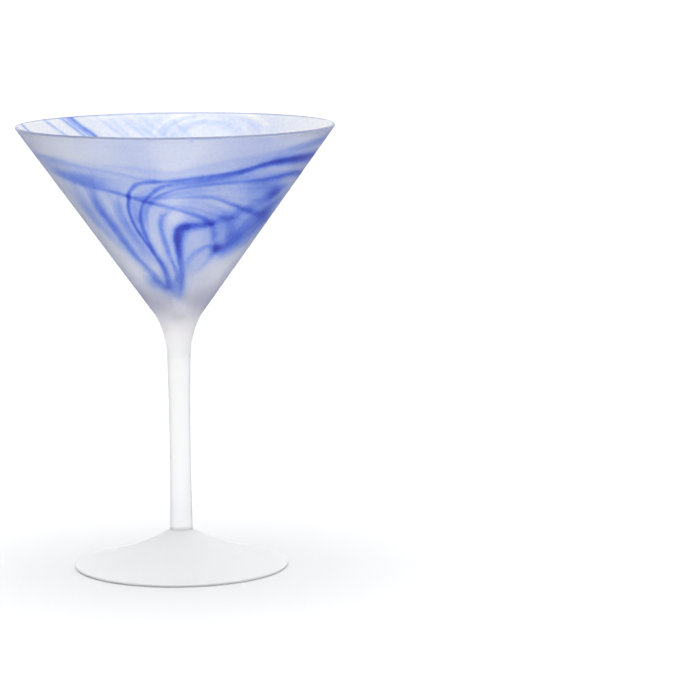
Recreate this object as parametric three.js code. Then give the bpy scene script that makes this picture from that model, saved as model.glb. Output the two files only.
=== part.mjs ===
// Martini glass: a three-layer bowl on a drawn stem and a round foot.
// Units are millimetres, +Z is up, and the centre of the foot's resting plane is the origin.
// Every piece is a solid of revolution. Neighbours share their boundary points, so they meet face to face.
import * as THREE from 'three';

// Driving dimensions
const roundSegments = 64;

const bowl = {
  rimRadius: 57.8,
  rimHeight: 162.4,
  halfAngle: THREE.MathUtils.degToRad(35.7),   // of the outer cone
  lipWall: 1.1,                                // wall across the glass at the lip
  baseWall: 2.6,                               // the same where the cavity's round bottom starts
  bendHeight: 95,                              // height where the cavity's round bottom starts
  coneBottom: 93,                              // height where the outer cone turns into the flare
};

// How deep each layer starts, as a share of the wall from its outside
const layerStart = { casing: 0, swirl: 0.42, lining: 0.62, cavity: 1 };

const flare = { bottom: 77, upperPull: 1.5, lowerPull: 9 };   // pulls are the Bezier handles' lengths

const stem = { bottom: 13.3, waistHeight: 44, waistRadius: 3.8, taper: 0.000415 };   // taper in 1/mm

const foot = {
  radius: 39.2,
  edgeRound: 0.5,
  humpPower: 1.6,        // how fast the hump sinks towards the edge
  ringInnerRadius: 33,   // the foot rests on the ring outside this
  hollowDepth: 1.6,      // of the underside, at its centre
};

// Steps along each stretch of a profile
const steps = { wall: 6, bottom: 5, lip: 2, flare: 9, stem: 12, hump: 11, edge: 4, hollow: 3 };

// Worked out from the driving dimensions
const slope = Math.tan(bowl.halfAngle);
const outward = new THREE.Vector2(Math.cos(bowl.halfAngle), -Math.sin(bowl.halfAngle));
const upward = new THREE.Vector2(Math.sin(bowl.halfAngle), Math.cos(bowl.halfAngle));
const lipRound = bowl.lipWall / 2;
const lipCentre = new THREE.Vector2(bowl.rimRadius - lipRound, bowl.rimHeight - lipRound);
const wallTop = lipCentre.clone().addScaledVector(outward, lipRound);

const coneRadius = (height) => wallTop.x - (wallTop.y - height) * slope;

const stemRadius = (height) => stem.waistRadius + stem.taper * (height - stem.waistHeight) ** 2;

// Evenly spread values from 0 to 1, both ends included
const shares = (count) => Array.from({ length: count + 1 }, (_, i) => i / count);

// The lip is a half circle across the wall. A layer that starts at a share of the wall meets it at this angle.
const lipAngle = (depth) => Math.acos(1 - 2 * depth);

function lipArc(fromDepth, toDepth) {
  const start = lipAngle(fromDepth);
  const end = lipAngle(toDepth);
  return shares(steps.lip).map((t) => {
    const angle = start + (end - start) * t;
    return lipCentre.clone()
      .addScaledVector(outward, lipRound * Math.cos(angle))
      .addScaledVector(upward, lipRound * Math.sin(angle));
  });
}

// The surface between two layers, from just under the lip down to the axis: the wall thickens with the square
// of the distance below the lip, and a round bottom tangent to it closes the cup.
function layerBoundary(depth) {
  const span = wallTop.y - bowl.bendHeight;
  const gain = bowl.baseWall - bowl.lipWall;
  const points = shares(steps.wall).slice(1).map((t) => {
    const wall = bowl.lipWall + gain * t * t;
    const height = wallTop.y - span * t;
    return new THREE.Vector2(coneRadius(height) - depth * wall / outward.x, height);
  });
  const bend = points.at(-1);
  const bendAngle = Math.atan(slope + depth * 2 * gain / span / outward.x);
  const bottomRound = bend.x / Math.cos(bendAngle);
  const centreHeight = bend.y + bend.x * Math.tan(bendAngle);
  for (const t of shares(steps.bottom).slice(1, -1)) {
    const angle = bendAngle + (Math.PI / 2 - bendAngle) * t;
    points.push(new THREE.Vector2(bottomRound * Math.cos(angle), centreHeight - bottomRound * Math.sin(angle)));
  }
  points.push(new THREE.Vector2(0, centreHeight - bottomRound));
  return points;
}

// The casing's outside below the cone: a Bezier curve, tangent to the cone above and to the stem below
function flareCurve() {
  const bottomSlope = 2 * stem.taper * (flare.bottom - stem.waistHeight);
  const top = new THREE.Vector2(coneRadius(bowl.coneBottom), bowl.coneBottom);
  const bottom = new THREE.Vector2(stemRadius(flare.bottom), flare.bottom);
  const upperHandle = top.clone().addScaledVector(upward, -flare.upperPull);
  const lowerHandle = bottom.clone().addScaledVector(new THREE.Vector2(bottomSlope, 1).normalize(), flare.lowerPull);
  return new THREE.CubicBezierCurve(bottom, lowerHandle, upperHandle, top).getPoints(steps.flare);
}

// An inner layer of the bowl: up its outer boundary, over the lip and down its inner boundary
function layerProfile(fromDepth, toDepth) {
  return [
    ...layerBoundary(fromDepth).reverse(),
    ...lipArc(fromDepth, toDepth),
    ...layerBoundary(toDepth),
  ];
}

function casingProfile() {
  return [
    new THREE.Vector2(0, flare.bottom),
    ...flareCurve(),
    ...lipArc(layerStart.casing, layerStart.swirl),
    ...layerBoundary(layerStart.swirl),
  ];
}

function stemProfile() {
  const side = shares(steps.stem).map((t) => {
    const height = THREE.MathUtils.lerp(stem.bottom, flare.bottom, t);
    return new THREE.Vector2(stemRadius(height), height);
  });
  return [new THREE.Vector2(0, stem.bottom), ...side, new THREE.Vector2(0, flare.bottom)];
}

// The foot: a slightly hollow underside, a flat resting ring, a round edge and a hump that rises to the stem
function footProfile() {
  const edgeRadius = foot.radius - foot.edgeRound;
  const edgeTop = 2 * foot.edgeRound;
  const weldRadius = stemRadius(stem.bottom);
  const hollow = shares(steps.hollow).map((t) => (
    new THREE.Vector2(foot.ringInnerRadius * t, foot.hollowDepth * (1 - t * t))
  ));
  const edge = shares(steps.edge).map((t) => new THREE.Vector2(
    edgeRadius + foot.edgeRound * Math.sin(Math.PI * t),
    foot.edgeRound * (1 - Math.cos(Math.PI * t)),
  ));
  const hump = shares(steps.hump).slice(1).map((t) => new THREE.Vector2(
    THREE.MathUtils.lerp(edgeRadius, weldRadius, t),
    edgeTop + (stem.bottom - edgeTop) * t ** foot.humpPower,
  ));
  return [...hollow, ...edge, ...hump, new THREE.Vector2(0, stem.bottom)];
}

const finishes = {
  clearGlass: { color: 0xf4f6fb, roughness: 0.05, metalness: 0 },
  swirlGlass: { color: 0x6d7fd2, roughness: 0.1, metalness: 0 },
  frostedGlass: { color: 0xdfe2f0, roughness: 0.5, metalness: 0 },
};

// Turns a profile of (radius, height) points, listed up the outside and down the inside, about the Z axis
function turned(name, profile, finish) {
  const geometry = new THREE.LatheGeometry(profile, roundSegments);
  geometry.rotateX(Math.PI / 2);
  const mesh = new THREE.Mesh(geometry, new THREE.MeshStandardMaterial(finish));
  mesh.name = name;
  return mesh;
}

const martiniGlass = new THREE.Group();
martiniGlass.add(
  turned('clear_lining', layerProfile(layerStart.lining, layerStart.cavity), finishes.clearGlass),
  turned('swirl_layer', layerProfile(layerStart.swirl, layerStart.lining), finishes.swirlGlass),
  turned('frosted_casing', casingProfile(), finishes.frostedGlass),
  turned('stem', stemProfile(), finishes.frostedGlass),
  turned('foot', footProfile(), finishes.frostedGlass),
);

export default martiniGlass;
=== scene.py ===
import math
import bpy
import numpy as np
from mathutils import Matrix, Vector


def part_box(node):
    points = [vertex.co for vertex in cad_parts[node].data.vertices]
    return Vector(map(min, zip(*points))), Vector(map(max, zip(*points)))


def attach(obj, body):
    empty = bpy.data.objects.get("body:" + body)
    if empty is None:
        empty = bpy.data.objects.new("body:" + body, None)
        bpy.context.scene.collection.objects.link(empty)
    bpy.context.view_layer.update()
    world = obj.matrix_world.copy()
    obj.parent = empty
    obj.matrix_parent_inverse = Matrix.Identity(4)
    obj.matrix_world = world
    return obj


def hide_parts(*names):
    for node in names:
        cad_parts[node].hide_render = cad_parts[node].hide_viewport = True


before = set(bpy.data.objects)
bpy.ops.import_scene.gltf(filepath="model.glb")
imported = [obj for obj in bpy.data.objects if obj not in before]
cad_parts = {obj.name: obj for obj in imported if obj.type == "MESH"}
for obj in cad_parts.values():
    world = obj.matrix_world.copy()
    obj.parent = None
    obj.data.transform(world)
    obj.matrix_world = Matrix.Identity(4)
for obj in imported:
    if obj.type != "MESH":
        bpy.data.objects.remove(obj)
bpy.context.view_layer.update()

mm = 0.001
sharpAngle = 35  # degrees; edges that turn more than this stay crisp
scene = bpy.context.scene

# The frame gives the sizes that the pieces share
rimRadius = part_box("frosted_casing")[1].x / mm
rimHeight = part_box("clear_lining")[1].z / mm
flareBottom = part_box("stem")[1].z / mm
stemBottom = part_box("foot")[1].z / mm
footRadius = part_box("foot")[1].x / mm
print("frame loaded: rim %.1f mm wide, glass %.1f mm high" % (2 * rimRadius, rimHeight))

# Three layers of glass round one cavity, in millimetres and degrees
bowl = {
    "halfAngle": 35.7,  # of the outer cone
    "lipWall": 1.1,
    "baseWall": 2.6,  # wall where the cavity's round bottom starts
    "bendHeight": 95.0,  # height of that place
    "coneBottom": 93.0,  # where the outer cone turns into the flare
    "upperPull": 1.5,  # Bezier handles of the flare
    "lowerPull": 9.0,
    "swirlStart": 0.42,  # depth of each layer, as a share of the wall from outside
    "liningStart": 0.62,
    "gap": 0.01,  # keeps the swirl's faces off its neighbours', as a share of the wall
    "columns": 500,
    "fineRows": 132,  # down a face that shows the swirl
    "plainRows": 16,  # down a face that is hidden
    "liningRows": 48,  # down the inside that the drink touches
    "bottomRows": 10,
    "lipRows": 5,
    "flareRows": 30,
    "flareSkinRows": 6,  # of the cone, up from the flare, that are as rough as the flare
}

halfAngle = math.radians(bowl["halfAngle"])
slope = math.tan(halfAngle)
outward = np.array([math.cos(halfAngle), -math.sin(halfAngle)])
upward = np.array([math.sin(halfAngle), math.cos(halfAngle)])
lipRound = bowl["lipWall"] / 2
lipCentre = np.array([rimRadius - lipRound, rimHeight - lipRound])
wallTop = lipCentre + outward * lipRound
apexHeight = wallTop[1] - wallTop[0] / slope


def coneRadius(height):
    # radius = radius under the lip, less the height below it times the cone's slope
    return wallTop[0] - (wallTop[1] - height) * slope


def lipArc(fromDepth, toDepth):
    # half circle across the wall, from one layer's share of the wall to the next one's
    angles = np.linspace(math.acos(1 - 2 * fromDepth), math.acos(1 - 2 * toDepth), bowl["lipRows"])
    return lipCentre + lipRound * (np.outer(np.cos(angles), outward) + np.outer(np.sin(angles), upward))


def layerBoundary(depth, rows):
    # down the wall, whose thickness grows with the square of the distance below the lip, then a round
    # bottom that is tangent to it and ends on the axis
    span = wallTop[1] - bowl["bendHeight"]
    gain = bowl["baseWall"] - bowl["lipWall"]
    t = np.linspace(0, 1, rows)[1:]
    height = wallTop[1] - span * t
    wall = bowl["lipWall"] + gain * t ** 2
    side = np.stack([coneRadius(height) - depth * wall / outward[0], height], 1)
    bendAngle = math.atan(slope + depth * 2 * gain / span / outward[0])
    bottomRound = side[-1, 0] / math.cos(bendAngle)
    centreHeight = side[-1, 1] + side[-1, 0] * math.tan(bendAngle)
    angles = np.linspace(bendAngle, math.pi / 2, bowl["bottomRows"])[1:]
    bottom = np.stack([bottomRound * np.cos(angles), centreHeight - bottomRound * np.sin(angles)], 1)
    return np.concatenate([side, bottom])


def layerProfile(fromDepth, toDepth, outerRows, innerRows):
    # an inner layer of the bowl: up its outer boundary, over the lip, and down its inner boundary
    lip = lipArc(fromDepth, toDepth)
    outer = np.concatenate([layerBoundary(fromDepth, outerRows)[::-1], lip[:1]])
    return outer, lip[1:], layerBoundary(toDepth, innerRows)


def coneSide():
    # straight from the flare to just under the lip, in even steps
    height = np.linspace(bowl["coneBottom"], wallTop[1], bowl["fineRows"])[1:]
    return np.stack([coneRadius(height), height], 1)


def turnedPiece(name, stretches, columns):
    # surface of revolution on a grid: x = r sin a, y = -r cos a, z = height, for every angle a round the
    # axis and every profile point. stretches is a list of (points, material). The profile runs up the
    # outside and down the inside, and its first and last points lie on the axis, where fans close it.
    profile = np.concatenate([points for points, material in stretches])
    finish = np.concatenate([np.full(len(points), i) for i, (points, material) in enumerate(stretches)])
    inner = profile[1:-1]
    rows = len(inner)
    angle = np.linspace(0, 2 * math.pi, columns, endpoint=False)
    radius = inner[:, 0][:, None]
    height = inner[:, 1][:, None] + 0 * angle
    grid = np.stack([radius * np.sin(angle), -radius * np.cos(angle), height], 2)
    poles = np.array([[0, 0, profile[0, 1]], [0, 0, profile[-1, 1]]])
    vertices = np.concatenate([grid.reshape(-1, 3), poles]) * mm
    row, column = np.meshgrid(np.arange(rows - 1), np.arange(columns), indexing="ij")
    after = (column + 1) % columns
    corner = row * columns
    above = corner + columns
    quads = np.stack([corner + column, corner + after, above + after, above + column], 2)
    around = np.arange(columns)
    beside = (around + 1) % columns
    last = (rows - 1) * columns
    firstFan = np.stack([beside, around, np.full(columns, rows * columns)], 1)
    lastFan = np.stack([last + around, last + beside, np.full(columns, rows * columns + 1)], 1)
    faces = quads.reshape(-1, 4).tolist() + firstFan.tolist() + lastFan.tolist()
    mesh = bpy.data.meshes.new(name)
    mesh.from_pydata(vertices.tolist(), [], faces)
    quadFinish = np.repeat(finish[2:-1], columns)
    faceFinish = np.concatenate([quadFinish, np.full(columns, finish[0]), np.full(columns, finish[-1])])
    mesh.polygons.foreach_set("material_index", faceFinish.astype(np.int32))
    mesh.polygons.foreach_set("use_smooth", np.ones(len(faceFinish), bool))
    for points, material in stretches:
        mesh.materials.append(material)
    mesh.update()
    mesh.set_sharp_from_angle(angle=math.radians(sharpAngle))
    piece = bpy.data.objects.new(name, mesh)
    scene.collection.objects.link(piece)
    return piece


# Trails of blue glass on the bowl. points are (degrees round from the front, mm up). width is half of the
# trail's width in mm and strength its depth of colour, both spread evenly along it. soft makes the side to
# the left of its direction wider than the other, and a negative value narrower. A trail of negative
# strength is milk-white.
trails = {
    "mainSweep": {
        "points": [
            (112, 147), (95, 150), (78, 151.6), (60, 151.8), (50, 151.8), (40, 151.2), (30, 149.4),
            (20, 148.1), (10, 147.3), (0, 146.5), (-10, 146.0), (-15, 145.6), (-18.3, 144.8),
            (-21, 143.1), (-23.2, 141.2), (-24.6, 138.3), (-25.8, 136.3), (-26.5, 133.5),
            (-26.3, 130.2), (-25.2, 127), (-23.2, 124), (-20.8, 121.2), (-18.2, 118.4), (-16, 116),
            (-13.8, 113.5), (-12.2, 111), (-11.4, 108), (-10.5, 105),
        ],
        "width": [1.4, 1.35, 0.9, 0.62, 0.52, 0.5, 0.5, 0.55, 0.7, 0.9, 1.1],
        "strength": [0.4, 0.74, 0.76, 0.54, 0.5, 0.55, 0.57, 0.6, 0.62, 0.58, 0.26],
        "soft": 0.5,
    },
    "underSweep": {
        "points": [
            (34, 149.2), (26, 147.6), (18, 146.7), (9, 146), (1, 145.4), (-5, 144.6), (-9, 143.2),
            (-13, 140.6), (-16.5, 138.3), (-18.6, 135.8), (-20, 133.6), (-20.9, 131.4), (-21.2, 129),
            (-20.8, 126.2), (-20.2, 123.3), (-18.8, 120),
        ],
        "width": [0.4, 0.5, 0.55, 0.55, 0.6, 0.65],
        "strength": [0.12, 0.32, 0.4, 0.5, 0.54, 0.3],
        "soft": 0.7,
    },
    "secondLine": {
        "points": [
            (105, 140), (85, 144.3), (70, 145.9), (60, 146.1), (43, 145.3), (29, 145.2), (20, 145),
            (9.5, 144.4), (3.5, 143.8), (-1, 143), (-6, 141.6), (-10.5, 139.8), (-14, 137.7),
            (-17, 134.4), (-18.4, 130.5),
        ],
        "width": [1.3, 0.9, 0.55, 0.5, 0.5, 0.6, 0.7],
        "strength": [0.4, 0.46, 0.44, 0.42, 0.36, 0.22, 0.08],
        "soft": 0.7,
    },
    "thinLine": {
        "points": [
            (-20, 140.1), (-10, 139.8), (0, 139.9), (9, 139.9), (16, 139.6), (20.5, 138.9),
            (25.5, 137.6), (32, 136), (38.5, 134.3), (47, 132.7), (57, 131.2), (68, 129.5), (84, 126),
        ],
        "width": [0.4, 0.42, 0.45, 0.6, 0.9, 1.6],
        "strength": [0.16, 0.3, 0.42, 0.42, 0.24, 0.1],
        "soft": 0.5,
    },
    "crossLine": {
        "points": [
            (-78, 149), (-66, 147.4), (-57, 145.6), (-51, 144.3), (-45, 143.5), (-36.3, 142.5),
            (-30.5, 141.6), (-26.8, 140.9), (-20.6, 139.5), (-15.3, 138.4), (-12.2, 137.8),
            (-7.8, 137), (-3.9, 136.2), (0, 135.6), (4, 134.6), (8.5, 133.4), (13, 132.2),
            (17.2, 130.8), (20.8, 129.4),
        ],
        "width": [1.8, 1.3, 0.7, 0.6, 0.6, 0.7, 0.8],
        "strength": [0.04, 0.17, 0.4, 0.44, 0.34, 0.38, 0.42],
        "soft": 0.4,
    },
    "upperLine": {
        "points": [
            (-100, 150), (-80, 153), (-57, 152.2), (-51, 151.7), (-43, 150.9), (-36, 150.2),
            (-29, 149.5), (-22, 148.5), (-16, 147.3), (-9, 146.6),
        ],
        "width": [2.0, 1.6, 0.9, 0.7, 0.6],
        "strength": [0.08, 0.16, 0.2, 0.18, 0.2],
        "soft": -0.4,
    },
    "arcLine": {
        "points": [
            (82, 157.8), (66, 157.4), (49.5, 155.9), (36.5, 154.5), (22.5, 153.1), (9.5, 151.1),
            (0, 149.4), (-5, 149.5), (-13, 150.4), (-21, 151.3), (-29, 151.8), (-44, 152.7),
            (-60, 154.5),
        ],
        "width": [1.5, 1.2, 1.0, 0.8, 0.6, 0.5, 0.7],
        "strength": [0.2, 0.16, 0.1, 0.09, 0.12, 0.08, 0.02],
        "soft": 0.8,
    },
    "innerHook": {
        "points": [
            (19, 129.5), (16, 129.3), (12.6, 129.2), (9, 129.2), (6, 129), (2.7, 128.5), (0.9, 127.3),
            (0.1, 125.3), (0, 123), (0.3, 120.8), (0.9, 118.4), (1.8, 115.8), (3, 112.9), (3.9, 109.8),
            (4, 106.7), (3.4, 103.6), (2.6, 101),
        ],
        "width": [1.3, 1.3, 1.5, 1.5, 1.3, 1.1, 1.0, 0.9, 0.8],
        "strength": [0.24, 0.42, 0.84, 1.08, 0.98, 0.8, 0.56, 0.32, 0.1],
        "soft": 0.6,
    },
    "softHook": {
        "points": [
            (-3, 134.6), (-6.5, 133.6), (-8.7, 131.8), (-9.5, 129), (-9.3, 126.2), (-8.2, 123),
            (-6.6, 119.2), (-5, 116.5), (-3, 113.6), (-1, 111), (0.5, 108),
        ],
        "width": [1.0, 1.25, 1.2, 1.0, 0.9],
        "strength": [0.12, 0.36, 0.36, 0.38, 0.28],
        "soft": -0.25,
    },
    "leftBand": {
        "points": [
            (-37, 148), (-40, 144.5), (-43, 141), (-45, 137.3), (-44.9, 133.4), (-43.1, 129.7),
            (-40.8, 125.1), (-38.2, 120.5), (-34.4, 116), (-29.3, 112.8), (-25.3, 110.2), (-22, 107.6),
            (-17, 105),
        ],
        "width": [2.0, 2.3, 2.2, 1.7, 1.5, 1.8],
        "strength": [0.04, 0.2, 0.34, 0.36, 0.3, 0.2],
        "soft": -0.1,
    },
    "leftVeil": {
        "points": [
            (-35, 141), (-33.8, 137.6), (-34.2, 133.7), (-33.7, 129.4), (-32.2, 125.3), (-29.6, 121),
            (-26, 116),
        ],
        "width": [1.1, 1.3, 1.2],
        "strength": [0.12, 0.22, 0.1],
        "soft": 0.5,
    },
    "leftThread": {
        "points": [
            (-29.6, 139.5), (-30.6, 136), (-30.8, 133.3), (-30.3, 129), (-27.7, 124), (-24, 119.6),
            (-20, 115),
        ],
        "width": [0.8, 0.9, 0.9],
        "strength": [0.12, 0.18, 0.12],
        "soft": 0.3,
    },
    "farLeftVeil": {
        "points": [(-55, 143.5), (-56, 140.5), (-58, 136), (-58.5, 132), (-56, 127.6), (-52, 122.5)],
        "width": [2.0, 2.2, 1.6],
        "strength": [0.04, 0.12, 0.04],
        "soft": 0.0,
    },
    "rightDrape": {
        "points": [
            (70, 141), (62, 140), (57, 138.8), (50, 136.8), (43, 134.9), (36, 133.2), (29, 131.2),
            (23, 130), (17, 129.4),
        ],
        "width": [1.8, 2.8, 2.6, 2.0, 1.0],
        "strength": [0.12, 0.24, 0.18, 0.18, 0.2],
        "soft": 0.3,
    },
    "rightRing": {
        "points": [(27, 131), (33, 130), (36.5, 127), (37, 123.5), (34.5, 120.5), (30, 119.2)],
        "width": [1.4, 1.8, 1.8],
        "strength": [0.14, 0.22, 0.16],
        "soft": 0.2,
    },
    "knotDrop": {
        "points": [(20.8, 129.5), (22.6, 127.8), (24, 125.8), (25.8, 123.4), (28.2, 121.4), (30, 120)],
        "width": [0.8, 1.1, 1.4],
        "strength": [0.2, 0.26, 0.3],
        "soft": 0.4,
    },
    "innerArc": {
        "points": [(29, 120.6), (23, 120.8), (16.5, 119.6), (11, 117.2), (7.5, 114)],
        "width": [0.9, 1.0, 0.8],
        "strength": [0.2, 0.24, 0.12],
        "soft": 0.9,
    },
    "lowerArc": {
        "points": [(31, 119), (27, 115.8), (21.5, 112.8), (15, 110.6)],
        "width": [1.1, 1.2, 1.2],
        "strength": [0.24, 0.18, 0.04],
        "soft": 0.5,
    },
    "rimSpeck": {
        "points": [(5.8, 162), (5.9, 160.9)],
        "width": [0.3],
        "strength": [0.32],
        "soft": 0.0,
    },
    "backStreakA": {
        "points": [
            (-136, 163), (-139.5, 159), (-144.5, 155), (-152, 147), (-160, 138), (-166, 128),
            (-168, 118), (-166, 109), (-160, 103),
        ],
        "width": [0.8, 0.7, 0.9, 1.2, 1.4],
        "strength": [0.5, 0.55, 0.45, 0.45, 0.3],
        "soft": 0.9,
    },
    "backStreakB": {
        "points": [
            (-131, 163), (-134, 160), (-139.5, 155), (-147, 147), (-153, 138), (-158, 128), (-160, 119),
        ],
        "width": [0.5, 0.4, 0.7, 1.1],
        "strength": [0.45, 0.35, 0.3, 0.25],
        "soft": 0.5,
    },
    "backStreakC": {
        "points": [(-133.5, 163), (-136.7, 159.3), (-141.8, 155.2), (-149, 147)],
        "width": [0.3, 0.28, 0.5],
        "strength": [0.35, 0.25, 0.2],
        "soft": 0.2,
    },
    "backStreakD": {
        "points": [
            (-121, 163), (-125, 159.5), (-129.5, 156), (-138, 149), (-146, 140), (-150, 130),
            (-150, 119), (-146, 110),
        ],
        "width": [0.6, 0.5, 0.8, 1.4],
        "strength": [0.3, 0.24, 0.25, 0.25],
        "soft": 0.6,
    },
    "sideStreak": {
        "points": [
            (-100, 163), (-103, 160), (-107, 156.5), (-114, 149), (-121, 140), (-126, 130),
            (-127, 119), (-124, 109),
        ],
        "width": [0.8, 0.9, 1.2, 1.6],
        "strength": [0.6, 0.45, 0.35, 0.25],
        "soft": 0.4,
    },
    "backSweep": {
        "points": [
            (100, 149.5), (120, 146), (138, 141), (152, 134.5), (161, 127), (165, 119), (164, 111),
            (158, 104),
        ],
        "width": [1.5, 1.4, 1.2, 1.0],
        "strength": [0.6, 0.6, 0.45, 0.25],
        "soft": 0.6,
    },
    "backLine": {
        "points": [(97, 142.5), (113, 139.5), (128, 133), (138, 125), (142, 116), (140, 108)],
        "width": [1.0, 0.8, 0.9],
        "strength": [0.4, 0.4, 0.25],
        "soft": 0.6,
    },
    "whiteArcOuter": {
        "points": [
            (-166, 148), (-171, 155), (-177, 159.4), (175, 161.6), (164, 162.4), (152, 161.6),
            (140, 158),
        ],
        "width": [0.7, 0.6, 0.8],
        "strength": [-0.06, -0.12, -0.06],
        "soft": 0.3,
    },
    "whiteArcInner": {
        "points": [
            (-176, 152), (-178.5, 156.2), (177, 158.6), (169, 159.8), (160, 159.4), (152, 157.2),
            (146, 153),
        ],
        "width": [0.5, 0.5, 0.7],
        "strength": [-0.06, -0.12, -0.06],
        "soft": 0.6,
    },
}
# Combed threads between two edges: first and second are the edges, and each thread lies between them.
combs = {
    "underRim": {
        "first": [(84, 161), (45, 160.8), (0, 160.5), (-40, 160), (-80, 159)],
        "second": [(80, 158.6), (45, 156.8), (15, 154.5), (-5, 152.5), (-25, 153.6), (-75, 156)],
        "threads": 7,
        "strength": 0.02,
        "width": 0.35,
    },
    "besideSweep": {
        "first": [(88, 157.4), (66, 156.6), (50, 155.2), (34, 153.2), (20, 151.4), (6, 149)],
        "second": [(86, 153.4), (62, 153.8), (48, 153.2), (34, 151.4), (20, 149.4), (6, 147.8)],
        "threads": 5,
        "strength": 0.035,
        "width": 0.5,
    },
    "betweenLines": {
        "first": [
            (80, 150.4), (62, 150.2), (46, 149.8), (28, 147.6), (10, 146), (-6, 144.6), (-17, 142.6),
            (-22.3, 138), (-23.8, 133), (-22.4, 127.5), (-19.8, 122),
        ],
        "second": [
            (80, 147.4), (62, 147.2), (46, 146.6), (28, 146), (10, 145.2), (-4, 143.4), (-13, 141.4),
            (-19, 137.4), (-21.8, 133), (-21.8, 127.5), (-19.5, 122),
        ],
        "threads": 4,
        "strength": 0.07,
        "width": 0.3,
    },
    "hookFill": {
        "first": [
            (24, 145.3), (8, 143.8), (-4, 142.4), (-11, 139.6), (-15.5, 136.4), (-17.6, 132),
            (-17.4, 127),
        ],
        "second": [
            (24, 143.2), (8, 141.8), (-4, 140.4), (-11, 137.8), (-15, 134.4), (-17, 130.5),
            (-17, 126.5),
        ],
        "threads": 4,
        "strength": 0.05,
        "width": 0.33,
    },
    "underSecond": {
        "first": [(72, 144.6), (45, 144.2), (25, 144), (8, 143), (-3, 141.6), (-9, 139.2)],
        "second": [(60, 134.6), (45, 136.6), (30, 138.2), (16, 140.4), (6, 141), (0, 140.4)],
        "threads": 7,
        "strength": 0.075,
        "width": 0.36,
    },
    "overCross": {
        "first": [(52, 129.5), (40, 132.2), (26, 136), (14, 138.6), (4, 139), (-5, 139.1)],
        "second": [(34, 130.5), (26, 130.8), (18, 131.4), (11, 133.6), (5, 135.4), (-2, 137)],
        "threads": 6,
        "strength": 0.08,
        "width": 0.36,
    },
    "rightDrapes": {
        "first": [(78, 142), (66, 137), (54, 133), (44, 129), (40, 124), (36, 118.5)],
        "second": [(82, 132), (72, 127), (62, 122.5), (52, 118.5), (44, 116), (36, 114.6)],
        "threads": 7,
        "strength": 0.13,
        "width": 1.0,
    },
    "leftDrapes": {
        "first": [(-60, 149), (-64, 142), (-65, 134), (-61, 127), (-53, 119.5), (-43, 112.5)],
        "second": [(-25, 143), (-28.5, 139), (-29, 132), (-26, 125.5), (-20.8, 118), (-16, 112)],
        "threads": 9,
        "strength": 0.058,
        "width": 1.0,
    },
    "leftShoulder": {
        "first": [(-74, 151.6), (-60, 150.6), (-46, 149.6), (-32, 148.6), (-20, 146.4)],
        "second": [(-72, 147), (-60, 146), (-46, 145), (-34, 143.4), (-25, 141.6)],
        "threads": 6,
        "strength": 0.06,
        "width": 1.1,
    },
    "insideHook": {
        "first": [(27, 123.4), (20, 124.6), (13, 124), (8.5, 121)],
        "second": [(29, 117.4), (22, 115.5), (14, 112.5), (8.5, 109)],
        "threads": 5,
        "strength": 0.05,
        "width": 0.8,
    },
    "backArches": {
        "first": [
            (-168, 150), (-174, 156), (-179, 159.8), (172, 162), (158, 162), (148, 159.4), (136, 151),
        ],
        "second": [
            (176, 152), (175, 155.4), (171, 157.5), (166, 158.2), (160, 157.6), (156, 155.4),
            (152, 151),
        ],
        "threads": 8,
        "strength": 0.04,
        "width": 0.6,
    },
    "backLeftFan": {
        "first": [(-146, 163), (-151, 158), (-158, 151), (-168, 140), (-178, 126), (178, 112)],
        "second": [(-175, 163), (178, 157), (170, 150), (166, 140), (165, 126), (166, 112)],
        "threads": 12,
        "strength": 0.07,
        "width": 0.6,
    },
    "backSideFan": {
        "first": [(-84, 158), (-96, 150), (-108, 140), (-116, 128), (-118, 114)],
        "second": [(-128, 158), (-138, 148), (-144, 138), (-148, 126), (-144, 112)],
        "threads": 10,
        "strength": 0.08,
        "width": 0.9,
    },
    "backRightFan": {
        "first": [(92, 150), (112, 146), (132, 141), (148, 133), (158, 123), (160, 110)],
        "second": [(92, 128), (104, 124), (116, 118), (126, 112), (136, 107), (144, 103)],
        "threads": 12,
        "strength": 0.08,
        "width": 0.9,
    },
}
# Soft clouds of blue: (degrees round, mm up, reach round in mm, reach up in mm, strength)
clouds = [
    (46, 130, 9, 5, 0.06),
    (44, 134.5, 9, 5, 0.05),
    (34, 128, 6, 5, 0.12),
    (58, 138.9, 3.6, 2.0, 0.26),
    (66, 130, 7, 6, 0.22),
    (53, 122, 8, 4.5, 0.18),
    (38, 123, 5, 4, 0.08),
    (30.2, 120.0, 1.1, 1.1, 0.28),
    (32, 119.6, 3.0, 1.8, 0.24),
    (15, 129.9, 3.8, 1.3, 0.16),
    (20.8, 129.6, 1.4, 0.9, 0.14),
    (4, 128.4, 2.4, 1.3, 0.16),
    (-23.6, 140.3, 0.9, 0.9, 0.12),
    (44.5, 133.1, 1.8, 1.0, 0.14),
    (46, 142, 12, 4, 0.24),
    (28, 127, 5, 4, 0.17),
    (27, 133, 8, 2.4, 0.14),
    (-23, 133, 2.4, 6, 0.1),
    (-3, 105.2, 3.4, 4.0, 0.34),
    (-16, 105.4, 3.4, 3.2, 0.06),
    (-28, 107, 3.6, 3.0, 0.24),
    (-42, 146, 12, 3, 0.12),
    (-47, 134, 9, 7, 0.06),
    (20, 147.2, 22, 1.6, 0.05),
    (12, 113, 8, 6, 0.04),
    (178, 157, 44, 7, 0.1),
    (-172, 157, 12, 5, 0.03),
    (140, 157, 12, 6, 0.03),
    (150, 120, 12, 9, 0.1),
    (-135, 125, 14, 10, 0.1),
    (105, 132, 12, 9, 0.12),
]


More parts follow.
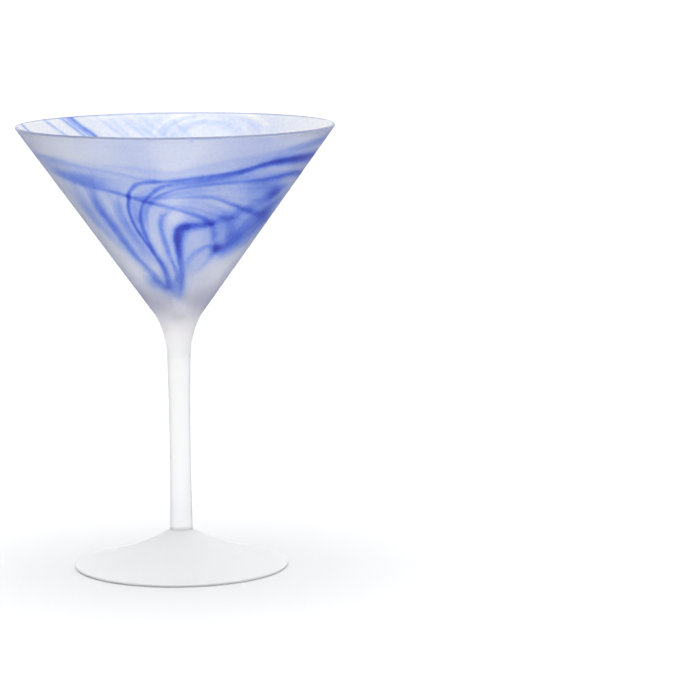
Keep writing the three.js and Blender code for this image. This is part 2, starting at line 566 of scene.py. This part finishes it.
# How trails and threads are laid
laying = {
    "samplesPerPoint": 5,
    "threadSamples": 30,
    "strengthValues": 5,  # how many values a thread has along it
    "widthValues": 4,
    "seed": 11,
    "skirt": 0.12,  # share of a trail's colour in its wide faint skirt
    "skirtWidth": 2.0,  # times the trail's own width
    "farthest": 3.2,  # widths out to which a trail is worked out, and millimetres on top of that
    "margin": 1.0,
    "jitter": (0.1, 0.9),  # where in its own lane a thread lies
    "wander": 0.05,  # how far a thread sways, as a share of the way between the comb's edges
    "wanderTurn": 5.0,  # radians that the sway goes through, and the latest that it starts at
    "wanderStart": 6.0,
    "strengthOfThread": (0.3, 1.8),  # ranges that multiply the comb's own values
    "strengthAlong": (0.6, 1.2),
    "endStrength": 0.2,  # how much of its strength a thread keeps at its ends
    "widthAlong": (0.6, 1.5),
    "softness": (0, 0.8),
}


def smoothPath(points, count):
    # Catmull-Rom curve through the points, with count samples
    knots = np.array(points, float)
    knots[:, 0] = np.degrees(np.unwrap(np.radians(knots[:, 0])))
    knots = np.concatenate([[2 * knots[0] - knots[1]], knots, [2 * knots[-1] - knots[-2]]])
    t = np.linspace(0, len(points) - 1, count)
    i = np.minimum(t.astype(int), len(points) - 2)
    f = (t - i)[:, None]
    a, b, c, d = knots[i], knots[i + 1], knots[i + 2], knots[i + 3]
    square = (2 * a - 5 * b + 4 * c - d) * f ** 2
    cube = (3 * b - a - 3 * c + d) * f ** 3
    return 0.5 * (2 * b + (c - a) * f + square + cube)


def unrolled(angle, height, middle):
    # the cone laid flat, in mm: the slant distance from the apex is kept, and the angle round the axis,
    # counted from middle, shrinks by the sine of the cone's half angle
    turn = (angle - middle + 180) % 360 - 180
    slant = (height - apexHeight) / outward[0]
    bearing = np.radians(turn) * math.sin(halfAngle)
    return np.stack([slant * np.sin(bearing), slant * np.cos(bearing)], -1)


def spreadAlong(values, share):
    return np.interp(share, np.linspace(0, 1, len(values)), values)


def layTrail(blue, angle, height, path, trail):
    # adds one trail: a bell curve of the distance to the nearest of its straight steps, plus a faint skirt
    middle = path[:, 0].mean()
    line = unrolled(path[:, 0], path[:, 1], middle)
    reach = laying["farthest"] * max(trail["width"]) * (1 + abs(trail["soft"])) + laying["margin"]
    spot = unrolled(angle, height, middle)
    near = np.all((spot > line.min(0) - reach) & (spot < line.max(0) + reach), axis=1)
    spot = spot[near]
    best = np.full(len(spot), np.inf)
    signed = np.zeros(len(spot))
    share = np.zeros(len(spot))
    for k in range(len(line) - 1):
        step = line[k + 1] - line[k]
        away = spot - line[k]
        t = np.clip(away @ step / (step @ step), 0, 1)
        gap = away - t[:, None] * step
        distance = (gap ** 2).sum(1)
        side = step[0] * away[:, 1] - step[1] * away[:, 0]
        nearer = distance < best
        best[nearer] = distance[nearer]
        signed[nearer] = np.sign(side[nearer])
        share[nearer] = (k + t[nearer]) / (len(line) - 1)
    width = spreadAlong(trail["width"], share) * np.where(signed > 0, 1 + trail["soft"], 1)
    x = np.sqrt(best) / width
    core = (1 - laying["skirt"]) * np.exp(-x ** 2)
    skirt = laying["skirt"] * np.exp(-(x / laying["skirtWidth"]) ** 2)
    blue[near] += spreadAlong(trail["strength"], share) * (core + skirt)


def swirlField(angle, height):
    # depth of blue at each place: the trails, the combed threads and the clouds, added up
    blue = np.zeros(len(angle))
    for trail in trails.values():
        path = smoothPath(trail["points"], laying["samplesPerPoint"] * len(trail["points"]))
        layTrail(blue, angle, height, path, trail)
    chance = np.random.default_rng(laying["seed"])
    samples = laying["threadSamples"]
    for comb in combs.values():
        first = smoothPath(comb["first"], samples)
        second = smoothPath(comb["second"], samples)
        second[:, 0] += 360 * np.round((first[0, 0] - second[0, 0]) / 360)
        threads = comb["threads"]
        places = (np.arange(threads) + chance.uniform(*laying["jitter"], threads)) / threads
        for place in places:
            wave = np.linspace(0, laying["wanderTurn"], samples) + chance.uniform(0, laying["wanderStart"])
            drift = place + laying["wander"] * np.sin(wave)
            path = first + (second - first) * drift[:, None]
            strength = comb["strength"] * chance.uniform(*laying["strengthOfThread"])
            strength = strength * chance.uniform(*laying["strengthAlong"], laying["strengthValues"])
            strength[[0, -1]] *= laying["endStrength"]
            width = comb["width"] * chance.uniform(*laying["widthAlong"], laying["widthValues"])
            thread = {"width": width, "strength": strength, "soft": chance.uniform(*laying["softness"])}
            layTrail(blue, angle, height, path, thread)
    for middle, level, reachRound, reachUp, strength in clouds:
        turn = (angle - middle + 180) % 360 - 180
        along = np.radians(turn) * (height - apexHeight) * slope / reachRound
        blue += strength * np.exp(-along ** 2 - ((height - level) / reachUp) ** 2)
    return blue


# The field is worked out once, on a lattice of angles and heights, and read off for each piece
latticeAngle = np.arange(bowl["columns"]) * 360 / bowl["columns"]
latticeHeight = np.linspace(rimHeight, bowl["coneBottom"], bowl["fineRows"])
latticeGrid = np.meshgrid(latticeHeight, latticeAngle, indexing="ij")
lattice = swirlField(latticeGrid[1].ravel(), latticeGrid[0].ravel()).reshape(len(latticeHeight), -1)
print("swirl worked out")


def addSwirl(piece):
    # stores the depth of blue on the piece's vertices: its own column of the lattice, straight between rows
    place = np.empty(len(piece.data.vertices) * 3, np.float32)
    piece.data.vertices.foreach_get("co", place)
    place = place.reshape(-1, 3).astype(float) / mm
    angle = np.degrees(np.arctan2(place[:, 0], -place[:, 1])) % 360
    column = np.round(angle / 360 * bowl["columns"]).astype(int) % bowl["columns"]
    step = latticeHeight[0] - latticeHeight[1]
    # kept just short of the last row, so that there is always a row below
    row = np.clip((latticeHeight[0] - place[:, 2]) / step, 0, len(latticeHeight) - 1.001)
    above = row.astype(int)
    part = row - above
    blue = lattice[above, column] * (1 - part) + lattice[above + 1, column] * part
    field = piece.data.attributes.new("blue", "FLOAT", "POINT")
    field.data.foreach_set("value", blue.astype(np.float32))


def toLinear(hexColour):
    # sRGB hex to the linear colour that shaders take
    channels = [int(hexColour[i:i + 2], 16) / 255 for i in (1, 3, 5)]
    return [c / 12.92 if c <= 0.04045 else ((c + 0.055) / 1.055) ** 2.4 for c in channels] + [1]


def addNode(tree, kind, settings=None, links=None):
    # adds a node; settings are its properties or input values, links are input: socket to take it from
    node = tree.nodes.new(kind)
    for key, value in (settings or {}).items():
        if isinstance(key, str) and hasattr(node, key):
            setattr(node, key, value)
        else:
            node.inputs[key].default_value = value
    for key, socket in (links or {}).items():
        tree.links.new(socket, node.inputs[key])
    return node


def newMaterial(name):
    material = bpy.data.materials.new(name)
    material.use_nodes = True
    material.node_tree.nodes.clear()
    return material, material.node_tree


def finishMaterial(tree, shader):
    addNode(tree, "ShaderNodeOutputMaterial", links={"Surface": shader})


def setStops(ramp, stops):
    # colour stops from (place, linear colour)
    elements = ramp.color_ramp.elements
    while len(elements) < len(stops):
        elements.new(0.5)
    for element, (place, colour) in zip(elements, stops):
        element.position = place
        element.color = colour


glassIor = 1.52  # soda-lime glass

etchLook = {
    "bowlRoughness": 0.34,
    "bowlIor": 1.36,  # the pits of the etch reflect less than polished glass
    "stemRoughness": 0.28,
    "stemTransmission": 1.0,
    "flareRoughness": 0.62,
    "flareTransmission": 0.83,  # here and on the foot, the rest is the white of the etched skin itself
    "footRoughness": 0.5,
    "footTransmission": 0.38,
    "grainMm": 0.3,  # grain of the etch, drawn coarser than the real 0.05 mm so that it shows
    "grainDepthMm": 0.01,
    "grainStrength": 0.5,  # share of that depth which the light sees
    # tint by share of the glass's height: white foot and stem, with painted light in lighter bands at the
    # stem's two ends, and a painted grey shade where the cup's bottom is thickest
    "heightWhiteWithPaintedLightAndShade": [
        (0.0, "#FDFDFD"), (0.09, "#FFFFFF"), (0.11, "#F8F8F8"), (0.465, "#F4F4F4"),
        (0.485, "#FFFFFF"), (0.53, "#FAF8F9"), (0.56, "#F1EFF1"), (0.58, "#E6E4E8"),
        (0.604, "#C8C6CE"), (0.625, "#D0D0D6"), (0.65, "#EEEEEF"), (0.69, "#F4F4F3"),
    ],
}
polishLook = {
    "innerTint": "#F6F6F7",
    "innerRoughness": 0.04,
    "innerTransmission": 1.0,
    "lipTint": "#C3CCEE",  # the colours of all three layers show on edge at the lip
    "lipRoughness": 0.2,
    "lipTransmission": 0.6,
}
swirlLook = {
    "mottleMm": 1.6,  # size of the cloudy breaks in the blue
    "mottleAmount": 0.22,
    "mottleRange": (0.3, 0.7),  # the part of the noise that is used, which sets its contrast
    "grainMm": 0.5,  # milky specks in the pale glass
    "grainAmount": 0.1,
    "grainRange": (0.35, 0.75),
    # the bare wall, and the whole wall at each depth of blue; two surfaces share the change between them
    "bareWall": "#CBD1E6",
    "wallStops": [
        (0.0, "#C9CEE2"), (0.25, "#96A8E0"), (0.5, "#6883D8"), (0.75, "#4C5EC4"), (1.0, "#3E48B0"),
    ],
    "layerShare": 0.65,
    "skinShare": 0.7,  # more than what is left, because light takes only part of a skin's colour
}


def wallShare(power):
    # one surface's part in the wall's colour: the whole wall over the bare wall, to the power of its share
    bare = np.array(toLinear(swirlLook["bareWall"]))
    stops = []
    for place, colour in swirlLook["wallStops"]:
        share = np.minimum(np.array(toLinear(colour)) / bare, 1) ** power
        stops.append((place, share.tolist()))
    return stops


def etchGrain(tree, coordinates):
    # bumps of the acid etch
    grain = addNode(tree, "ShaderNodeTexNoise", {"Scale": 1 / (etchLook["grainMm"] * mm), "Detail": 2.0},
                    {"Vector": coordinates})
    return addNode(tree, "ShaderNodeBump", {
        "Strength": etchLook["grainStrength"], "Distance": etchLook["grainDepthMm"] * mm},
        {"Height": grain.outputs[0]})


def whiteWithPaintedLightAndShade(tree, coordinates):
    # colour of the skin by its height: its own white, with bands of painted light and painted shade
    parts = addNode(tree, "ShaderNodeSeparateXYZ", links={0: coordinates})
    share = addNode(tree, "ShaderNodeMapRange", {"From Max": rimHeight * mm}, {0: parts.outputs[2]})
    tint = addNode(tree, "ShaderNodeValToRGB", links={0: share.outputs[0]})
    setStops(tint, [(place, toLinear(colour)) for place, colour in etchLook["heightWhiteWithPaintedLightAndShade"]])
    return tint


def brokenBlue(tree, coordinates):
    # the stored depth of blue, broken into cloudy mottles, with milky specks added; the noise takes one
    # step for a spot and the gap beside it, so it is twice the spot's size
    blue = addNode(tree, "ShaderNodeAttribute", {"attribute_name": "blue"})
    mottle = addNode(tree, "ShaderNodeTexNoise", {
        "Scale": 1 / (swirlLook["mottleMm"] * 2 * mm), "Detail": 4.0, "Roughness": 0.6},
        {"Vector": coordinates})
    low, high = swirlLook["mottleRange"]
    gain = addNode(tree, "ShaderNodeMapRange", {
        "From Min": low, "From Max": high, "To Min": 1 - swirlLook["mottleAmount"],
        "To Max": 1 + swirlLook["mottleAmount"]}, {0: mottle.outputs[0]})
    broken = addNode(tree, "ShaderNodeMath", {"operation": "MULTIPLY"}, {
        0: blue.outputs["Fac"], 1: gain.outputs[0]})
    specks = addNode(tree, "ShaderNodeTexNoise", {
        "Scale": 1 / (swirlLook["grainMm"] * 2 * mm), "Detail": 2.0}, {"Vector": coordinates})
    low, high = swirlLook["grainRange"]
    milk = addNode(tree, "ShaderNodeMapRange", {
        "From Min": low, "From Max": high, "To Min": 0.0, "To Max": swirlLook["grainAmount"]},
        {0: specks.outputs[0]})
    return addNode(tree, "ShaderNodeMath", {"operation": "ADD", "use_clamp": True}, {
        0: broken.outputs[0], 1: milk.outputs[0]})


def makeEtchedGlass(name, transmission, roughness):
    # solid soda-lime glass, acid etched: satin and almost white, brightest where it is thick, at the stem's
    # two ends, where that light is painted into its colour
    material, tree = newMaterial(name)
    coordinates = addNode(tree, "ShaderNodeTexCoord").outputs["Object"]
    bump = etchGrain(tree, coordinates)
    # the colour by height holds painted light at the stem's ends and painted shade at the cup's bottom
    tint = whiteWithPaintedLightAndShade(tree, coordinates)
    glass = addNode(tree, "ShaderNodeBsdfPrincipled", {
        "Roughness": roughness, "IOR": glassIor, "Transmission Weight": transmission},
        {"Normal": bump.outputs[0], "Base Color": tint.outputs[0]})
    finishMaterial(tree, glass.outputs[0])
    return material


def makeEtchedOverBlue():
    # the same skin on the thin wall of the bowl: it softens the swirl just under it
    material, tree = newMaterial("acidEtchedGlassOverSwirl")
    coordinates = addNode(tree, "ShaderNodeTexCoord").outputs["Object"]
    bump = etchGrain(tree, coordinates)
    tint = addNode(tree, "ShaderNodeValToRGB", links={0: brokenBlue(tree, coordinates).outputs[0]})
    setStops(tint, wallShare(swirlLook["skinShare"]))
    # the blue is multiplied by the colour by height, which holds a painted grey shade at the cup's bottom
    both = addNode(tree, "ShaderNodeMix", {"data_type": "RGBA", "blend_type": "MULTIPLY", 0: 1.0},
                   {6: tint.outputs[0], 7: whiteWithPaintedLightAndShade(tree, coordinates).outputs[0]})
    glass = addNode(tree, "ShaderNodeBsdfPrincipled", {
        "Roughness": etchLook["bowlRoughness"], "IOR": etchLook["bowlIor"], "Transmission Weight": 1.0},
        {"Normal": bump.outputs[0], "Base Color": both.outputs[2]})
    finishMaterial(tree, glass.outputs[0])
    return material


def makeSwirlGlass():
    # cobalt and milky glass marvered together between two gathers: it only filters the light
    material, tree = newMaterial("cobaltTrailGlass")
    coordinates = addNode(tree, "ShaderNodeTexCoord").outputs["Object"]
    tint = addNode(tree, "ShaderNodeValToRGB", links={0: brokenBlue(tree, coordinates).outputs[0]})
    setStops(tint, wallShare(swirlLook["layerShare"]))
    film = addNode(tree, "ShaderNodeBsdfTransparent", links={0: tint.outputs[0]})
    finishMaterial(tree, film.outputs[0])
    return material


def makePolishedGlass(name, tint, roughness, transmission):
    # blown glass with a fire-polished face: clear, with a sharp shine
    material, tree = newMaterial(name)
    glass = addNode(tree, "ShaderNodeBsdfPrincipled", {
        "Roughness": roughness, "IOR": glassIor, "Transmission Weight": transmission,
        "Base Color": toLinear(tint)})
    finishMaterial(tree, glass.outputs[0])
    return material


def makeSeam():
    # two pieces fused hot: there is no surface to see between them
    material, tree = newMaterial("fusedSeam")
    film = addNode(tree, "ShaderNodeBsdfTransparent")
    finishMaterial(tree, film.outputs[0])
    return material


etched = makeEtchedGlass("acidEtchedStem", etchLook["stemTransmission"], etchLook["stemRoughness"])
etchedFlare = makeEtchedGlass("acidEtchedFlare", etchLook["flareTransmission"], etchLook["flareRoughness"])
etchedFoot = makeEtchedGlass("acidEtchedFoot", etchLook["footTransmission"], etchLook["footRoughness"])
etchedOverBlue = makeEtchedOverBlue()
swirlGlass = makeSwirlGlass()
innerGlass = makePolishedGlass("firePolishedGlass", polishLook["innerTint"], polishLook["innerRoughness"],
                               polishLook["innerTransmission"])
lipGlass = makePolishedGlass("firePolishedLip", polishLook["lipTint"], polishLook["lipRoughness"],
                             polishLook["lipTransmission"])
seam = makeSeam()
print("materials made")


def weldDisc(height, radius):
    # flat disc where two pieces meet, from the axis out
    return np.array([[0, height], [radius, height]])


# The stem is waisted, and its radius follows a parabola of the height
stemShape = {"waistHeight": 44.0, "waistRadius": 3.8, "taper": 0.000415, "columns": 128, "rows": 120}


def stemRadius(height):
    # radius = waist radius plus taper times the square of the distance from the waist
    return stemShape["waistRadius"] + stemShape["taper"] * (height - stemShape["waistHeight"]) ** 2


def flareCurve():
    # cubic Bezier from the stem's top to the cone, tangent to both
    lean = 2 * stemShape["taper"] * (flareBottom - stemShape["waistHeight"])
    stemWay = np.array([lean, 1]) / math.hypot(lean, 1)
    low = np.array([stemRadius(flareBottom), flareBottom])
    high = np.array([coneRadius(bowl["coneBottom"]), bowl["coneBottom"]])
    lowHandle = low + stemWay * bowl["lowerPull"]
    highHandle = high - upward * bowl["upperPull"]
    t = np.linspace(0, 1, bowl["flareRows"])[:, None]
    s = 1 - t
    return s ** 3 * low + 3 * s ** 2 * t * lowHandle + 3 * s * t ** 2 * highHandle + t ** 3 * high


swirlStart = bowl["swirlStart"]
liningStart = bowl["liningStart"]
fine = bowl["fineRows"]
plain = bowl["plainRows"]
cone = coneSide()
casing = turnedPiece("frostedCasing", [
    (weldDisc(flareBottom, stemRadius(flareBottom)), seam),
    (flareCurve()[1:], etchedFlare),
    (cone[:bowl["flareSkinRows"]], etchedFlare),
    (cone[bowl["flareSkinRows"]:], etchedOverBlue),
    (lipArc(0, swirlStart)[1:], lipGlass),
    (layerBoundary(swirlStart, plain), seam),
], bowl["columns"])
outer, lip, inner = layerProfile(swirlStart + bowl["gap"], liningStart - bowl["gap"], fine, plain)
swirl = turnedPiece("swirlLayer", [(outer, swirlGlass), (lip, lipGlass), (inner, seam)], bowl["columns"])
outer, lip, inner = layerProfile(liningStart, 1, plain, bowl["liningRows"])
lining = turnedPiece("clearLining", [
    (outer, seam),
    (lip, lipGlass),
    (inner, innerGlass),
], bowl["columns"] // 2)
addSwirl(casing)
addSwirl(swirl)
print("bowl made")

stemSide = np.linspace(stemBottom, flareBottom, stemShape["rows"])[1:]
stemPiece = turnedPiece("drawnStem", [
    # the stem's bottom disc takes the foot's white etched finish, though the fused joint has no surface
    # there: a painted light sheet that keeps the stem's lowest part from looking dark
    (weldDisc(stemBottom, stemRadius(stemBottom)), etchedFoot),
    (np.stack([stemRadius(stemSide), stemSide], 1), etched),
    (np.array([[0, flareBottom]]), seam),
], stemShape["columns"])

# The foot rests on a flat ring, and the hump on it rises to the stem
footShape = {
    "edgeRound": 0.5,
    "humpPower": 1.6,
    "ringInnerRadius": 33.0,
    "hollowDepth": 1.6,
    "columns": 320,
    "humpRows": 110,
    "edgeRows": 10,
    "hollowRows": 40,
    "weldDip": 0.3,  # keeps the foot's side of the weld off the stem's
}


def footProfile():
    # underside: a parabola; edge: a half circle; hump: a power curve from the edge up to the weld
    edgeRadius = footRadius - footShape["edgeRound"]
    t = np.linspace(0, 1, footShape["hollowRows"])
    hollow = np.stack([footShape["ringInnerRadius"] * t, footShape["hollowDepth"] * (1 - t ** 2)], 1)
    turn = np.linspace(0, math.pi, footShape["edgeRows"])
    edge = np.stack([edgeRadius + footShape["edgeRound"] * np.sin(turn),
                     footShape["edgeRound"] * (1 - np.cos(turn))], 1)
    t = np.linspace(0, 1, footShape["humpRows"])[1:]
    top = 2 * footShape["edgeRound"]
    hump = np.stack([edgeRadius + (stemRadius(stemBottom) - edgeRadius) * t,
                     top + (stemBottom - top) * t ** footShape["humpPower"]], 1)
    return np.concatenate([hollow, edge, hump])


foot = turnedPiece("roundFoot", [
    (footProfile(), etchedFoot),
    (np.array([[0, stemBottom - footShape["weldDip"]]]), seam),
], footShape["columns"])
print("stem and foot made")

for piece, node, slot in (
    (lining, "clear_lining", "lining_glass"),
    (swirl, "swirl_layer", "swirl_glass"),
    (casing, "frosted_casing", "frosted_glass"),
    (stemPiece, "stem", "frosted_glass"),
    (foot, "foot", "frosted_glass"),
):
    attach(piece, "root")
    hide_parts(node)

# White paper under the glass, and a bright even room
studio = {
    "paperReach": 6.0,  # metres each way
    "paperColour": "#DCDCDC",
    "paperRoughness": 0.9,
    "paperShine": 0.1,
    "paperBelowMm": 0.2,  # so that the foot's flat ring and the paper never share a plane
    "front": 0.62,  # brightness of the room's sides
    "back": 0.92,
    "left": -0.45,  # added towards that side
    "overhead": 2.9,  # added in a round patch straight above
    "frontToBack": (-0.9, 0.5),  # where these changes start and end, as parts of a unit direction
    "leftEdge": (-0.95, -0.3),
    "overheadEdge": (0.75, 0.95),
    "horizon": (-0.1, 0.0),
    "below": "#C8D0FF",  # what the glass mirrors from under itself, where the paper would be too bright
}

paper, paperTree = newMaterial("mattWhitePaper")
paperShader = addNode(paperTree, "ShaderNodeBsdfPrincipled", {
    "Base Color": toLinear(studio["paperColour"]), "Roughness": studio["paperRoughness"],
    "Specular IOR Level": studio["paperShine"]})
finishMaterial(paperTree, paperShader.outputs[0])
half = studio["paperReach"]
low = -studio["paperBelowMm"] * mm
floorMesh = bpy.data.meshes.new("floor")
floorMesh.from_pydata([(-half, -half, low), (half, -half, low), (half, half, low), (-half, half, low)], [],
                      [(0, 1, 2, 3)])
floorMesh.materials.append(paper)
floor = bpy.data.objects.new("floor", floorMesh)
scene.collection.objects.link(floor)
floor.visible_glossy = False

world = bpy.data.worlds.new("studio")
world.use_nodes = True
scene.world = world
worldTree = world.node_tree
worldTree.nodes.clear()
direction = addNode(worldTree, "ShaderNodeTexCoord").outputs["Generated"]
axes = addNode(worldTree, "ShaderNodeSeparateXYZ", links={0: direction})


def fade(source, edges, before, after):
    # goes smoothly from one value to the other while the source crosses from edge to edge
    return addNode(worldTree, "ShaderNodeMapRange", {
        "interpolation_type": "SMOOTHSTEP", "From Min": edges[0], "From Max": edges[1],
        "To Min": before, "To Max": after}, {0: source}).outputs[0]


depth = fade(axes.outputs[1], studio["frontToBack"], studio["front"], studio["back"])
side = fade(axes.outputs[0], studio["leftEdge"], studio["left"], 0.0)
lift = fade(axes.outputs[2], studio["overheadEdge"], 0.0, studio["overhead"])
upper = fade(axes.outputs[2], studio["horizon"], 0.0, 1.0)
level = addNode(worldTree, "ShaderNodeMath", {"operation": "ADD"}, {0: depth, 1: lift})
bright = addNode(worldTree, "ShaderNodeMath", {"operation": "ADD"}, {0: level.outputs[0], 1: side})
shade = addNode(worldTree, "ShaderNodeMix", {
    "data_type": "RGBA", 6: toLinear(studio["below"]), 7: (1, 1, 1, 1)}, {0: upper})
room = addNode(worldTree, "ShaderNodeBackground", links={
    "Color": shade.outputs[2], "Strength": bright.outputs[0]})
backdrop = addNode(worldTree, "ShaderNodeBackground", {"Color": (1, 1, 1, 1), "Strength": 1.0})
rays = addNode(worldTree, "ShaderNodeLightPath")
shown = addNode(worldTree, "ShaderNodeMixShader", links={
    0: rays.outputs["Is Camera Ray"], 1: room.outputs[0], 2: backdrop.outputs[0]})
addNode(worldTree, "ShaderNodeOutputWorld", links={"Surface": shown.outputs[0]})

# A long lens a little above the rim, turned right so that the glass stands left; metres, degrees, mm
view = {
    "place": (0, -1.187, 0.2564),
    "down": 8.495,
    "right": 3.021,
    "roll": -0.409,
    "lens": 168.7,
    "sensor": 36,
}
down, right, roll = (math.radians(view[k]) for k in ("down", "right", "roll"))
ahead = Vector((math.sin(right) * math.cos(down), math.cos(right) * math.cos(down), -math.sin(down)))
flat = Vector((math.cos(right), -math.sin(right), 0))
sideways = flat * math.cos(roll) + flat.cross(ahead) * math.sin(roll)
cameraData = bpy.data.cameras.new("camera")
cameraData.lens = view["lens"]
cameraData.sensor_width = view["sensor"]
camera = bpy.data.objects.new("camera", cameraData)
axesOfView = Matrix((sideways, sideways.cross(ahead), -ahead)).transposed()
camera.matrix_world = Matrix.Translation(view["place"]) @ axesOfView.to_4x4()
scene.collection.objects.link(camera)
scene.camera = camera

scene.view_settings.view_transform = "Standard"
scene.view_settings.look = "None"
# light crosses many faces, because the bowl's two walls are three layers each
scene.cycles.transparent_max_bounces = 48
scene.cycles.max_bounces = 24
scene.cycles.transmission_bounces = 20
print("floor, light and camera set")
